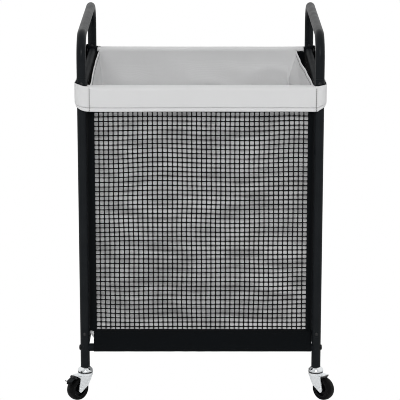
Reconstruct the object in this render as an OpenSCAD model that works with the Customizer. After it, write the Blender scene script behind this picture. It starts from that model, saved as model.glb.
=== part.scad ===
// Laundry sorter on wheels: a bolted tube frame with two push handles, a mesh
// bag with a turned-down cuff, and four swivel casters, two of them braked.
// Millimetres. +Z is up, -Y is the front, and the origin is on the floor
// below the middle of the frame.

/* [Frame] */
// Left to right distance between leg centres
leg_span_x = 480; // [380:1:620]
// Front to back distance between leg centres
leg_span_y = 440; // [340:1:520]
// Outer diameter of the legs, posts and handles
tube_d = 19; // [18:0.5:21]
// Wall of every frame tube
tube_wall = 1.2; // [0.8:0.1:1.5]
// Height of the posts above the bag's rim
post_rise = 13; // [11:0.5:19]
// Height of the top of the handle bars above the posts
handle_rise = 94; // [75:1:220]
// Centreline radius of the handle bends
handle_bend_r = 50; // [28:1:62]
// Height of the posts' lower ends above the bottom rails
leg_joint_rise = 25; // [21:1:40]
// Length of each reduced tube end inside its post
spigot_len = 40; // [36:1:60]

/* [Rails] */
// Outer diameter of the rails and of the base bars
rail_d = 16; // [14:0.5:18]
// Height of the bottom rails' axes above the lower ends of the legs
bottom_rail_rise = 41; // [41:1:60]
// Length of the solid end insert in each bolted rail
insert_len = 16; // [12:1:30]
// Front to back distance between the two base bars
base_bar_span = 120; // [60:1:240]

/* [Fasteners] */
// Diameter of the rail bolts
bolt_d = 6; // [5:0.5:6.5]
// Diameter of the rail bolts' button heads
bolt_head_d = 11.5; // [10:0.5:13]
// Height of the rail bolts' button heads
bolt_head_h = 3; // [2:0.1:3.2]
// Diameter of the tube joint screws
screw_d = 3.5; // [3:0.1:4]
// Diameter of the tube joint screws' pan heads
screw_head_d = 6.6; // [6:0.1:8]
// Length of the tube joint screws below the head
screw_len = 8; // [6:1:10]

/* [Bag] */
// Height of the top of the bag's rim
rim_z = 663; // [650:1:666]
// How far the cuff is turned down outside the frame
cuff_drop = 51.5; // [40:0.5:70]
// Distance from the posts to the outside of the cuff
cuff_stand_off = 4.7; // [4.5:0.1:8]
// Thickness of the liner and cuff cloth
cloth_t = 1.2; // [0.8:0.1:1.3]
// Thickness of the mesh, the bindings and the bands
mesh_t = 0.8; // [0.6:0.1:0.9]
// Width of the black binding beside each corner
binding_w = 13; // [12:1:24]
// Radius of the bag's upright corners
bag_corner_r = 10; // [6:1:11]
// Height over which the base of the bag tucks in
tuck_h = 17.7; // [12:0.1:24]
// How far the sides tuck in towards the base
tuck_in = 12; // [8:1:20]
// How far the front and rear tuck in towards the base
tuck_in_ends = 1; // [1:0.5:6]
// Height of the mesh's lower edge above the tuck
wall_foot_h = 9; // [6:0.5:25]
// Height of the sleeves' seam above the bottom rails' axes
sleeve_seam_h = 28; // [20:1:31]
// Space from the left legs to the sleeves' ends
sleeve_gap_left = 9; // [2:0.5:20]
// Space from the right legs to the sleeves' ends
sleeve_gap_right = 1; // [0.5:0.5:20]
// Thickness of the board in the base of the bag
board_t = 3; // [2:0.5:5]

/* [Casters] */
// Diameter of the wheels over the tyre
wheel_d = 48; // [44:1:50]
// Width of the tyre
tyre_w = 18; // [15:0.5:20]
// Diameter of the wheel hub under the tyre
hub_d = 34; // [28:1:36]
// Diameter of the axle rivet
axle_d = 6; // [5:0.5:7]
// Distance from the swivel axis back to the axle
trail = 22; // [18:0.5:25]
// Thickness of the pressed fork
fork_t = 2; // [1.5:0.1:2.5]
// How far the fork reaches ahead of the swivel axis
fork_front = 7.5; // [6:0.5:10]
// Diameter of the swivel head
head_d = 31; // [31:0.5:36]
// Diameter of the kingpin that holds the fork
kingpin_d = 8; // [6:0.5:9]
// Diameter of the balls in the swivel race
ball_d = 3.2; // [2.8:0.1:3.4]
// Number of balls in each swivel race
ball_count = 12; // [8:1:16]
// Diameter of the stem that plugs into the leg
stem_d = 11; // [8:0.5:12]
// Length of the stem above the head
stem_len = 30; // [20:1:34]

/* [Brake] */
// Width of the brake pedal
pedal_w = 13; // [12:0.5:18]
// Thickness of the brake pedal plate
pedal_t = 1.6; // [1.2:0.1:2]
// Width of the fork's tongue that carries the pedal
hinge_w = 6; // [4:0.5:8]
// Diameter of the brake pedal's pin
pedal_pin_d = 3; // [2.5:0.1:3.5]
// Distance from the axle back to the pedal's pin
pedal_pin_back = 11; // [10:0.5:13]
// Distance from the pedal's pin back to its knee
pedal_knee_back = 13; // [11:0.5:16]
// Drop from the pedal's pin to its knee
pedal_knee_drop = 7; // [3:0.5:7.5]
// Distance from the knee back to the toe
pedal_toe_back = 4; // [3:0.5:12]
// Rise from the knee to the toe
pedal_toe_rise = 2; // [1:0.5:6]
// Diameter of the rubber brake pad
pad_d = 5.2; // [4:0.1:5.6]
// Width of the rubber brake pad
pad_w = 10; // [6:1:16]

/* [Hidden] */
$fn = 48;

// Colours
powder_black = [0.12, 0.13, 0.14];
zinc = [0.80, 0.82, 0.84];
steel = [0.62, 0.63, 0.65];
rubber_black = [0.06, 0.06, 0.06];
plastic_black = [0.09, 0.09, 0.10];
grey_cloth = [0.82, 0.82, 0.83];
black_cloth = [0.08, 0.09, 0.10];
black_mesh = [0.16, 0.16, 0.17];
board_grey = [0.55, 0.55, 0.56];

// Clearances
slip = 0.1;       // round piece in its socket, on the radius
run = 0.05;       // shaft in its bore, on the radius
weld_gap = 0.15;  // coped tube end to the tube it is welded to
seat = 0.3;       // cloth to what carries it
eps = 0.01;       // cutters past the faces they cut

// Small fixed sizes
shoulder_h = 2 * tube_wall;  // solid ring inside each reduced tube end
joint_screw_in = 9;          // upper screws, below the posts' tops
joint_screw_up = 6;          // lower screws, above the posts' lower ends
bolt_tip_in = 1;             // bolts' ends, inside the inserts' ends
bag_side_gap = 1;            // bag's sides to the legs
cuff_seam_in = 1.8;          // cuff's seams to the inner edges of the legs
hem_h = 8;                   // cuff's lip, below the rim
crown_dish_h = 2.6;          // fork's crown, above its plate
race_in = 4;                 // ball ring, inside the head's rim
ball_gap = 0.2;              // balls to their races
hat_h = 8.6;                 // swivel head, above its race
tread_gap = 2;               // tyre to the fork's crown
boss_proud = 0.8;            // hub's bosses, past the tyre's sides
hub_play = 0.5;              // hub's bosses to the fork's legs
socket_flange = 1.2;         // socket's lip below the leg
hinge_play = 0.3;            // pedal to the fork's tongue
pedal_bead = 0.15;           // pedal's beads, past its faces

// Caster heights, from the floor up
wheel_r = wheel_d / 2;
hub_r = hub_d / 2;
axle_r = axle_d / 2;
crown_z = wheel_d + tread_gap;
head_r = head_d / 2;
crown_h = fork_t + crown_dish_h;
ball_r = ball_d / 2;
ball_z = crown_z + crown_h + ball_gap + ball_r;
ball_ring_r = head_r - race_in;
race_roof = ball_z + ball_r + ball_gap;
race_in_r = ball_ring_r - ball_r - ball_gap;
skirt_low = ball_z + 0.2;
head_top = race_roof + hat_h;
leg_bottom = head_top + socket_flange;
kingpin_r = kingpin_d / 2;
stem_r = stem_d / 2;
hub_half_w = tyre_w / 2 + boss_proud;
fork_in = hub_half_w + hub_play;
fork_out = fork_in + fork_t;
fork_back = trail + 3;

// Direction in which each caster trails, in the order of the corners
caster_yaw = [225, 315, 135, 135];

// Brake pedal: its pin lies behind the crown, level with the crown's plate
pin_x = trail + pedal_pin_back;
pin_z = crown_z + fork_t / 2;
pin_r = pedal_pin_d / 2;
pedal_eye_r = pin_r + pedal_t;
hinge_eye_r = pin_r + fork_t;
knee = [pin_x + pedal_knee_back, pin_z - pedal_knee_drop];
toe = [knee[0] + pedal_toe_back, knee[1] + pedal_toe_rise];
pad_r = pad_d / 2;

// Frame
half_x = leg_span_x / 2;
half_y = leg_span_y / 2;
corners = [[-1, -1], [1, -1], [-1, 1], [1, 1]];
tube_r = tube_d / 2;
bore_r = tube_r - tube_wall;
spigot_r = bore_r - slip;
rail_r = rail_d / 2;
bottom_rail_z = leg_bottom + bottom_rail_rise;
top_rail_z = rim_z - cloth_t - seat - rail_r;
post_bottom = bottom_rail_z + leg_joint_rise;
post_top = rim_z + post_rise;
handle_top = post_top + handle_rise;
bar_z = handle_top - tube_r;
bend_z = bar_z - handle_bend_r;
bolt_r = bolt_d / 2;
bolt_seat_x = half_x + tube_r;
bolt_len = tube_d + insert_len - bolt_tip_in;
handle_screw_z = post_top - joint_screw_in;
leg_screw_z = post_bottom + joint_screw_up;

// Bag: half widths to the outside of the liner
skin_t = seat + mesh_t;
bag_half_x = half_x - tube_r - bag_side_gap;
bag_half_y = half_y - rail_r - skin_t - seat;
bag_bottom = bottom_rail_z + rail_r + seat;
tuck_top = bag_bottom + tuck_h;
mesh_bottom = tuck_top + wall_foot_h;
wall_top = rim_z - hem_h;
cuff_half_x = half_x + tube_r + cuff_stand_off;
cuff_half_y = half_y + tube_r + cuff_stand_off;
cuff_corner_r = tube_r + cuff_stand_off;
cuff_seam_x = half_x - tube_r - cuff_seam_in;

module at_corner(c) {
    translate([c[0] * half_x, c[1] * half_y, 0]) children();
}

module at_caster(i) {
    at_corner(corners[i]) rotate(caster_yaw[i]) children();
}

// Pieces along X or Y from the middle
module along_x(len, r) {
    rotate([0, 90, 0]) cylinder(h = len, r = r, center = true);
}

module along_y(len, r) {
    rotate([90, 0, 0]) cylinder(h = len, r = r, center = true);
}

module corner_columns(r) {
    for (c = corners) at_corner(c) translate([0, 0, -eps]) cylinder(h = handle_top, r = r);
}

// ---- Frame ----

// Solid of a handle from height z up: two legs, two bends and the bar, of tube radius r
module handle_path(r, z) {
    for (s = [-1, 1]) translate([0, s * half_y, z]) cylinder(h = bend_z - z, r = r);
    for (s = [-1, 1])
        translate([0, s * (half_y - handle_bend_r), bend_z])
            rotate([90, 0, 90])
                rotate([0, 0, s < 0 ? 90 : 0])
                    rotate_extrude(angle = 90) translate([handle_bend_r, 0]) circle(r = r);
    translate([0, 0, bar_z]) along_y(leg_span_y - 2 * handle_bend_r, r);
}

module handle_hoop(side) {
    color(powder_black)
    translate([side * half_x, 0, 0])
    difference() {
        union() {
            handle_path(tube_r, post_top);
            for (s = [-1, 1])
                translate([0, s * half_y, post_top - spigot_len])
                    cylinder(h = spigot_len + tube_wall, r = spigot_r);
        }
        handle_path(bore_r, post_top + shoulder_h);
        for (s = [-1, 1]) {
            translate([0, s * half_y, post_top - spigot_len - eps])
                cylinder(h = spigot_len + shoulder_h + 2 * eps, r = spigot_r - tube_wall);
            translate([0, s * half_y, top_rail_z]) along_x(tube_d, bolt_r + slip);
            translate([0, s * half_y - tube_r, handle_screw_z]) along_y(tube_d, screw_d / 2 + slip);
        }
    }
}

module post(c) {
    color(powder_black)
    at_corner(c)
    difference() {
        translate([0, 0, post_bottom]) cylinder(h = post_top - post_bottom - seat, r = tube_r);
        translate([0, 0, post_bottom - eps]) cylinder(h = post_top, r = bore_r);
        translate([0, 0, top_rail_z]) along_x(2 * tube_d, bolt_r + slip);
        for (z = [handle_screw_z, leg_screw_z])
            translate([0, -tube_r, z]) along_y(tube_d, screw_d / 2 + slip);
    }
}

module lower_leg(c) {
    shoulder = post_bottom - seat;
    color(powder_black)
    at_corner(c)
    difference() {
        union() {
            translate([0, 0, leg_bottom]) cylinder(h = shoulder - leg_bottom, r = tube_r);
            translate([0, 0, shoulder - eps]) cylinder(h = spigot_len, r = spigot_r);
        }
        translate([0, 0, leg_bottom - eps])
            cylinder(h = shoulder - shoulder_h - leg_bottom, r = bore_r);
        translate([0, 0, leg_bottom]) cylinder(h = shoulder + spigot_len, r = spigot_r - tube_wall);
        translate([0, 0, bottom_rail_z]) along_x(2 * tube_d, bolt_r + slip);
        translate([0, -tube_r, leg_screw_z]) along_y(tube_d, screw_d / 2 + slip);
    }
}

// Side rails are welded between the front and rear tubes
module side_rail(side, z) {
    color(powder_black)
    difference() {
        translate([side * half_x, 0, z]) along_y(leg_span_y, rail_r);
        translate([side * half_x, 0, z]) along_y(leg_span_y + 2 * eps, rail_r - tube_wall);
        corner_columns(tube_r + weld_gap);
    }
}

// Front and rear rails are bolted on through the legs, into solid end inserts
// that are notched to clear the side rails
module bolted_rail(side, z) {
    hollow_len = leg_span_x - 2 * tube_r - 2 * insert_len;
    color(powder_black)
    difference() {
        translate([0, side * half_y, z]) along_x(leg_span_x, rail_r);
        translate([0, side * half_y, z]) along_x(hollow_len, rail_r - tube_wall);
        translate([0, side * half_y, z]) along_x(leg_span_x + 2 * eps, bolt_r + slip);
        for (s = [-1, 1]) translate([s * half_x, 0, z]) along_y(leg_span_y, rail_r + weld_gap);
        corner_columns(tube_r + weld_gap);
    }
}

// Two bars under the base, welded between the left and right bottom rails
module base_support_bars() {
    color(powder_black)
    difference() {
        for (s = [-1, 1]) translate([0, s * base_bar_span / 2, bottom_rail_z])
            along_x(leg_span_x, rail_r);
        for (s = [-1, 1]) translate([0, s * base_bar_span / 2, bottom_rail_z])
            along_x(leg_span_x + 2 * eps, rail_r - tube_wall);
        for (s = [-1, 1]) translate([s * half_x, 0, bottom_rail_z])
            along_y(leg_span_y, rail_r + weld_gap);
    }
}

// Button head with a hexagon socket; the head's seat is at z = 0, the shank below it
module button_bolt() {
    socket_across = bolt_d * 0.76;
    difference() {
        union() {
            rotate_extrude() intersection() {
                square([bolt_head_d / 2, bolt_head_h]);
                translate([0, bolt_head_h - bolt_head_d]) circle(r = bolt_head_d);
            }
            translate([0, 0, -bolt_len]) cylinder(h = bolt_len + eps, r = bolt_r);
        }
        translate([0, 0, bolt_head_h * 0.4]) cylinder(h = bolt_head_h, d = socket_across, $fn = 6);
    }
}

module rail_bolts() {
    color(steel)
    for (c = corners, z = [bottom_rail_z, top_rail_z])
        translate([c[0] * bolt_seat_x, c[1] * half_y, z])
            rotate([0, c[0] * 90, 0]) button_bolt();
}

// Pan head, seated against the tube
module pan_screw() {
    head_h = screw_head_d * 0.3;
    rotate_extrude() intersection() {
        square([screw_head_d / 2, head_h]);
        translate([0, head_h - screw_head_d * 0.8]) circle(r = screw_head_d * 0.8);
    }
    translate([0, 0, -screw_len]) cylinder(h = screw_len + eps, r = screw_d / 2);
}

module tube_joint_screws() {
    color(steel)
    for (c = corners, z = [handle_screw_z, leg_screw_z])
        translate([c[0] * half_x, c[1] * half_y - tube_r - eps, z]) rotate([90, 0, 0]) pan_screw();
}

// Plastic socket pressed into the end of each leg; it grips the caster's stem
module caster_sockets() {
    lip_r = 0.4 * socket_flange;
    color(plastic_black)
    for (c = corners) at_corner(c)
        rotate_extrude() difference() {
            union() {
                translate([0, leg_bottom]) square([spigot_r, stem_len + 2]);
                translate([0, head_top]) square([tube_r - lip_r, socket_flange]);
                translate([0, head_top + lip_r]) square([tube_r, socket_flange - lip_r]);
                translate([tube_r - lip_r, head_top + lip_r]) circle(r = lip_r);
            }
            translate([0, head_top - eps]) square([stem_r + run, stem_len + 1]);
        }
}

// ---- Bag ----

// Rounded rectangle, hx and hy to each side of the middle
module rounded_plan(hx, hy, r) {
    square([2 * hx - 2 * r, 2 * hy], center = true);
    square([2 * hx, 2 * hy - 2 * r], center = true);
    for (c = corners) translate([c[0] * (hx - r), c[1] * (hy - r)]) circle(r = r);
}

// Bag body, grown outwards by g: straight walls over a base that tucks in at the sides
module bag_body(g, z_low) {
    r = bag_corner_r + g;
    translate([0, 0, tuck_top])
        linear_extrude(wall_top - tuck_top) rounded_plan(bag_half_x + g, bag_half_y + g, r);
    hull() {
        translate([0, 0, tuck_top])
            linear_extrude(1) rounded_plan(bag_half_x + g, bag_half_y + g, r, $fn = 32);
        translate([0, 0, z_low])
            linear_extrude(1)
                rounded_plan(bag_half_x + g - tuck_in, bag_half_y + g - tuck_in_ends, r, $fn = 32);
    }
}

module bag_liner() {
    color(grey_cloth)
    difference() {
        bag_body(0, bag_bottom);
        bag_body(-cloth_t, bag_bottom + cloth_t);
        translate([0, 0, wall_top - 1])
            linear_extrude(3)
                rounded_plan(bag_half_x - cloth_t, bag_half_y - cloth_t, bag_corner_r - cloth_t);
    }
}

module base_board() {
    edge_gap = cloth_t + 1;
    color(board_grey)
    translate([0, 0, bag_bottom + cloth_t + seat])
        linear_extrude(board_t)
            rounded_plan(bag_half_x - tuck_in - edge_gap, bag_half_y - tuck_in_ends - edge_gap, bag_corner_r);
}

// Mesh between the corner bindings, just outside the liner
module mesh_front_rear(side) {
    half_w = bag_half_x - binding_w;
    color(black_mesh)
    translate([-half_w, side * (bag_half_y + seat) - (side < 0 ? mesh_t : 0), mesh_bottom])
        cube([2 * half_w, mesh_t, wall_top - mesh_bottom]);
}

module mesh_side(side) {
    half_w = bag_half_y - binding_w;
    color(black_mesh)
    translate([side * (bag_half_x + seat) - (side < 0 ? mesh_t : 0), -half_w, mesh_bottom])
        cube([mesh_t, 2 * half_w, wall_top - mesh_bottom]);
}

// Black cloth that binds each upright corner of the bag
module corner_bindings() {
    joint = 0.2;
    flat_x = bag_half_x - binding_w + joint;
    flat_y = bag_half_y - binding_w + joint;
    color(black_cloth)
    translate([0, 0, mesh_bottom])
    linear_extrude(wall_top - mesh_bottom)
    difference() {
        rounded_plan(bag_half_x + skin_t, bag_half_y + skin_t, bag_corner_r + skin_t);
        rounded_plan(bag_half_x + seat, bag_half_y + seat, bag_corner_r + seat);
        square([2 * flat_x, 4 * half_y], center = true);
        square([4 * half_x, 2 * flat_y], center = true);
    }
}

// Section of the front cuff: skirt outside, turned over the rail, lip on the liner
module cuff_section() {
    lip_y = bag_half_y - cloth_t;
    depth = cuff_half_y - lip_y;
    round_r = 8;
    module body(t) {
        w = depth - 2 * t;
        r = round_r - t;
        translate([lip_y + t, 0]) square([w - r, rim_z - t]);
        translate([lip_y + t, 0]) square([w, rim_z - t - r]);
        translate([lip_y + t + w - r, rim_z - t - r]) circle(r = r);
    }
    difference() {
        body(0);
        body(cloth_t);
        square([cuff_half_y - cloth_t - eps, wall_top + seat]);
        square([cuff_half_y + eps, rim_z - cuff_drop]);
    }
}

module cuff_front_rear(side) {
    color(grey_cloth)
    rotate([0, 0, side > 0 ? 180 : 0])
    translate([cuff_seam_x - seat, 0, 0])
    rotate([90, 0, -90])
        linear_extrude(2 * (cuff_seam_x - seat)) cuff_section();
}

// Side cuff: from the front seam, round both legs and back to the rear seam
module cuff_side(side) {
    color(grey_cloth)
    translate([0, 0, rim_z - cuff_drop])
    linear_extrude(cuff_drop)
    intersection() {
        difference() {
            rounded_plan(cuff_half_x, cuff_half_y, cuff_corner_r);
            rounded_plan(cuff_half_x - cloth_t, cuff_half_y - cloth_t, cuff_corner_r - cloth_t);
        }
        translate([side * (cuff_seam_x + half_x), 0]) square([2 * half_x, 4 * half_y], center = true);
    }
}

// Closed belt round a circle at the origin and a smaller one at p
module belt_section(r1, r2, p) {
    hull() {
        circle(r = r1, $fn = 32);
        translate(p) circle(r = r2, $fn = 16);
    }
}

// Sleeve of black cloth round the bottom rail, sewn to the foot of the mesh
module rail_sleeve(side) {
    x_low = -(half_x - tube_r - sleeve_gap_left);
    x_high = half_x - tube_r - sleeve_gap_right;
    web_x = bag_half_y + seat - half_y;
    inner_r = rail_r + seat;
    fold_r = 0.2;
    seam = [web_x + mesh_t + fold_r, sleeve_seam_h];
    color(black_cloth)
    translate([x_low, side * half_y, bottom_rail_z])
    rotate([90, 0, 90])
    linear_extrude(x_high - x_low)
    mirror([side > 0 ? 0 : 1, 0])
    difference() {
        union() {
            belt_section(inner_r + mesh_t, fold_r + mesh_t, seam);
            translate([web_x, seam[1]]) square([mesh_t, mesh_bottom - seat - bottom_rail_z - sleeve_seam_h]);
        }
        belt_section(inner_r, fold_r, seam);
    }
}

// Black cloth along the foot of each side wall, following the tuck
module side_bottom_bands() {
    len = 2 * (bag_half_y - bag_corner_r);
    tuck_gap = seat * norm([tuck_in, tuck_h]) / tuck_h;
    wall_x = bag_half_x + tuck_gap;
    low_z = bag_bottom + 1;
    low_x = wall_x - tuck_in * (tuck_top - low_z) / tuck_h;
    color(black_cloth)
    for (s = [-1, 1])
        mirror([s < 0 ? 1 : 0, 0, 0])
        rotate([90, 0, 0])
        translate([0, 0, -len / 2])
        linear_extrude(len)
            polygon([
                [wall_x, mesh_bottom - seat],
                [wall_x, tuck_top],
                [low_x, low_z],
                [low_x + mesh_t, low_z],
                [wall_x + mesh_t, tuck_top],
                [wall_x + mesh_t, mesh_bottom - seat]
            ]);
}

// ---- Casters: each is drawn about its swivel axis, with the wheel behind it along +X ----

// Stem, upper race and kingpin, riveted below the crown
module caster_stems() {
    rivet_r = kingpin_r + 2.2;
    rivet_top = crown_z - seat;
    rivet_low = rivet_top - 2.6;
    hat_r = head_r - 3;
    color(zinc)
    for (c = corners) at_corner(c)
        rotate_extrude() polygon([
            [0, rivet_low],
            [rivet_r - 1.5, rivet_low],
            [rivet_r, rivet_low + 1.4],
            [rivet_r, rivet_top],
            [kingpin_r, rivet_top],
            [kingpin_r, skirt_low],
            [race_in_r, skirt_low],
            [race_in_r, race_roof],
            [ball_ring_r + ball_r + ball_gap, race_roof],
            [ball_ring_r + ball_r + ball_gap, skirt_low],
            [head_r, skirt_low],
            [head_r, race_roof + 0.32 * hat_h],
            [head_r - 0.8, race_roof + 0.5 * hat_h],
            [hat_r + 0.3, race_roof + 0.72 * hat_h],
            [hat_r - 1.2, race_roof + 0.9 * hat_h],
            [hat_r - 2.6, head_top],
            [stem_r, head_top],
            [stem_r, head_top + stem_len - 2],
            [stem_r - 1.5, head_top + stem_len],
            [0, head_top + stem_len]
        ]);
}

module swivel_balls() {
    color(steel)
    for (c = corners) at_corner(c)
        for (i = [0 : ball_count - 1])
            rotate(i * 360 / ball_count) translate([ball_ring_r, 0, ball_z]) sphere(r = ball_r, $fn = 16);
}

// Outline of a fork leg, seen from the side: wide at the crown, with a round tip at the axle
module fork_leg_outline() {
    tip_r = axle_r + 1.7;
    tip = [trail + 1.2, wheel_r - 1.2];
    depth = crown_z - wheel_r;
    difference() {
        union() {
            translate(tip) circle(r = tip_r);
            polygon([
                [-fork_front, crown_z + eps],
                [-fork_front + 2.4, crown_z - 0.27 * depth],
                [-fork_front + 7.2, crown_z - 0.58 * depth],
                [-fork_front + 10.7, crown_z - 0.77 * depth],
                tip + tip_r * [cos(240), sin(240)],
                tip + tip_r * [cos(6), sin(6)],
                [trail + 3.4, crown_z - 0.5 * depth],
                [trail + 0.8, crown_z - 0.16 * depth],
                [fork_back, crown_z + eps]
            ]);
        }
        translate([trail, wheel_r]) circle(r = axle_r + run);
    }
}

// Flat plate of the crown, bowed at its rear edge
module crown_plate_outline() {
    bow = 2.5;
    bow_r = (fork_out * fork_out + bow * bow) / (2 * bow);
    translate([-fork_front, -fork_out]) square([fork_back + fork_front, 2 * fork_out]);
    intersection() {
        translate([0, -fork_out]) square([fork_back + bow, 2 * fork_out]);
        translate([fork_back + bow - bow_r, 0]) circle(r = bow_r);
    }
}

// Tongue behind the crown, rolled into the middle eye of the pedal's hinge
module hinge_tongue() {
    rotate([90, 0, 0]) translate([0, 0, -hinge_w / 2]) linear_extrude(hinge_w) {
        translate([fork_back, crown_z]) square([pin_x - fork_back, fork_t]);
        translate([pin_x, pin_z]) circle(r = hinge_eye_r);
    }
}

// Pressed fork: dished crown with the lower race, two legs, and on braked
// casters the tongue that carries the pedal
module fork(i, braked) {
    dimple_r = 1.6;
    color(zinc)
    at_caster(i)
    difference() {
        union() {
            translate([0, 0, crown_z]) cylinder(h = crown_h, r = head_r - 0.5);
            translate([0, 0, crown_z]) cylinder(h = skirt_low - seat - crown_z, r = race_in_r);
            translate([0, 0, crown_z]) linear_extrude(fork_t) crown_plate_outline();
            translate([head_r + 3, 0, crown_z + fork_t - 0.3]) sphere(r = dimple_r);
            for (s = [-1, 1])
                translate([0, s * (fork_in + fork_t / 2), 0])
                    rotate([90, 0, 0])
                        translate([0, 0, -fork_t / 2]) linear_extrude(fork_t) fork_leg_outline();
            if (braked) hinge_tongue();
        }
        translate([0, 0, crown_z - eps]) cylinder(h = crown_h * 2, r = kingpin_r + run);
        if (braked) translate([pin_x, 0, pin_z]) along_y(2 * hinge_w, pin_r + run);
    }
}

// Axle rivet with a domed head on each side of the fork
module axle(i) {
    head_h = 1.6;
    rivet_r = axle_r + 2;
    end = fork_out + head_h;
    color(zinc)
    at_caster(i)
    translate([trail, 0, wheel_r])
    rotate([90, 0, 0])
    rotate_extrude() polygon([
        [0, -end],
        [rivet_r - 2, -end],
        [rivet_r - 0.8, -end + 0.5],
        [rivet_r, -fork_out],
        [axle_r, -fork_out],
        [axle_r, fork_out],
        [rivet_r, fork_out],
        [rivet_r - 0.8, end - 0.5],
        [rivet_r - 2, end],
        [0, end]
    ]);
}

// Half section of the hub: boss, web and rim
module wheel_hub(i) {
    boss_r = axle_r + 4;
    rim_in = hub_r - 3;
    rim_half = tyre_w / 2 - 0.6;
    web_half = tyre_w / 5;
    color(plastic_black)
    at_caster(i)
    translate([trail, 0, wheel_r])
    rotate([90, 0, 0])
    rotate_extrude() difference() {
        union() {
            translate([0, -hub_half_w]) square([boss_r, 2 * hub_half_w]);
            translate([0, -web_half]) square([hub_r - slip, 2 * web_half]);
            translate([rim_in, -rim_half]) square([hub_r - slip - rim_in, 2 * rim_half]);
        }
        translate([0, -tyre_w]) square([axle_r + run, 2 * tyre_w]);
    }
}

// Crowned solid tyre with rounded shoulders
module tyre(i) {
    crown_r = tyre_w * 1.1;
    shoulder = 3;
    color(rubber_black)
    at_caster(i)
    translate([trail, 0, wheel_r])
    rotate([90, 0, 0])
    rotate_extrude() intersection() {
        union() {
            translate([hub_r, -tyre_w / 2]) square([wheel_r - shoulder - hub_r, tyre_w]);
            translate([hub_r, -tyre_w / 2 + shoulder]) square([wheel_r - hub_r, tyre_w - 2 * shoulder]);
            for (s = [-1, 1])
                translate([wheel_r - shoulder, s * (tyre_w / 2 - shoulder)]) circle(r = shoulder);
        }
        translate([wheel_r - crown_r, 0]) circle(r = crown_r, $fn = 96);
    }
}

// Flat strip of the pedal's plate from point a to point b
// Strip from a to b, with a bead at b that is a little thicker than the strip
module pedal_strip(a, b) {
    d = b - a;
    translate(a) rotate(atan2(d[1], d[0])) translate([0, -pedal_t / 2]) square([norm(d), pedal_t]);
    translate(b) circle(r = pedal_t / 2 + pedal_bead);
}

// Foot pedal: two eyes beside the fork's tongue, a drop behind the tyre and a toe turned up
module brake_pedal(i) {
    color(powder_black)
    at_caster(i)
    difference() {
        rotate([90, 0, 0]) translate([0, 0, -pedal_w / 2]) linear_extrude(pedal_w) {
            translate([pin_x, pin_z]) circle(r = pedal_eye_r);
            pedal_strip([pin_x, pin_z], knee);
            pedal_strip(knee, toe);
        }
        translate([pin_x, 0, pin_z]) along_y(2 * pedal_w, pin_r + run);
        translate([pin_x, 0, pin_z]) along_y(hinge_w + 2 * hinge_play, hinge_eye_r + hinge_play);
    }
}

// Rubber pad under the pedal that meets the tyre when the pedal is pressed
module brake_pad(i) {
    color(rubber_black)
    at_caster(i)
    translate([knee[0] - 0.5, 0, knee[1] - pedal_t / 2 - pedal_bead - pad_r - slip])
        along_y(pad_w, pad_r);
}

// Pin that the pedal turns on, headed at both ends
module pedal_pin(i) {
    pin_head_r = pin_r + 1;
    pin_head_h = 1;
    shank = pedal_w + 2 * hinge_play;
    color(steel)
    at_caster(i)
    translate([pin_x, 0, pin_z]) {
        along_y(shank + 2 * eps, pin_r);
        for (s = [-1, 1]) translate([0, s * (shank + pin_head_h) / 2, 0])
            along_y(pin_head_h, pin_head_r);
    }
}

handle_hoop(-1);  // left_handle_hoop
handle_hoop(1);  // right_handle_hoop
post(corners[0]);  // front_left_post
post(corners[1]);  // front_right_post
post(corners[2]);  // rear_left_post
post(corners[3]);  // rear_right_post
lower_leg(corners[0]);  // front_left_leg
lower_leg(corners[1]);  // front_right_leg
lower_leg(corners[2]);  // rear_left_leg
lower_leg(corners[3]);  // rear_right_leg
side_rail(-1, top_rail_z);  // left_top_rail
side_rail(1, top_rail_z);  // right_top_rail
bolted_rail(-1, top_rail_z);  // front_top_rail
bolted_rail(1, top_rail_z);  // rear_top_rail
side_rail(-1, bottom_rail_z);  // left_bottom_rail
side_rail(1, bottom_rail_z);  // right_bottom_rail
bolted_rail(-1, bottom_rail_z);  // front_bottom_rail
bolted_rail(1, bottom_rail_z);  // rear_bottom_rail
base_support_bars();
rail_bolts();
tube_joint_screws();
caster_sockets();
bag_liner();
base_board();
mesh_front_rear(-1);  // front_mesh_panel
mesh_front_rear(1);  // rear_mesh_panel
mesh_side(-1);  // left_mesh_panel
mesh_side(1);  // right_mesh_panel
corner_bindings();
cuff_front_rear(-1);  // front_cuff
cuff_front_rear(1);  // rear_cuff
cuff_side(-1);  // left_cuff
cuff_side(1);  // right_cuff
rail_sleeve(-1);  // front_rail_sleeve
rail_sleeve(1);  // rear_rail_sleeve
side_bottom_bands();
caster_stems();
swivel_balls();
fork(0, true);  // front_left_fork
fork(1, false);  // front_right_fork
fork(2, false);  // rear_left_fork
fork(3, true);  // rear_right_fork
axle(0);  // front_left_axle
axle(1);  // front_right_axle
axle(2);  // rear_left_axle
axle(3);  // rear_right_axle
wheel_hub(0);  // front_left_wheel_hub
wheel_hub(1);  // front_right_wheel_hub
wheel_hub(2);  // rear_left_wheel_hub
wheel_hub(3);  // rear_right_wheel_hub
tyre(0);  // front_left_tyre
tyre(1);  // front_right_tyre
tyre(2);  // rear_left_tyre
tyre(3);  // rear_right_tyre
brake_pedal(0);  // front_left_brake_pedal
brake_pedal(3);  // rear_right_brake_pedal
brake_pad(0);  // front_left_brake_pad
brake_pad(3);  // rear_right_brake_pad
pedal_pin(0);  // front_left_pedal_pin
pedal_pin(3);  // rear_right_pedal_pin
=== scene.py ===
import math

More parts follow.
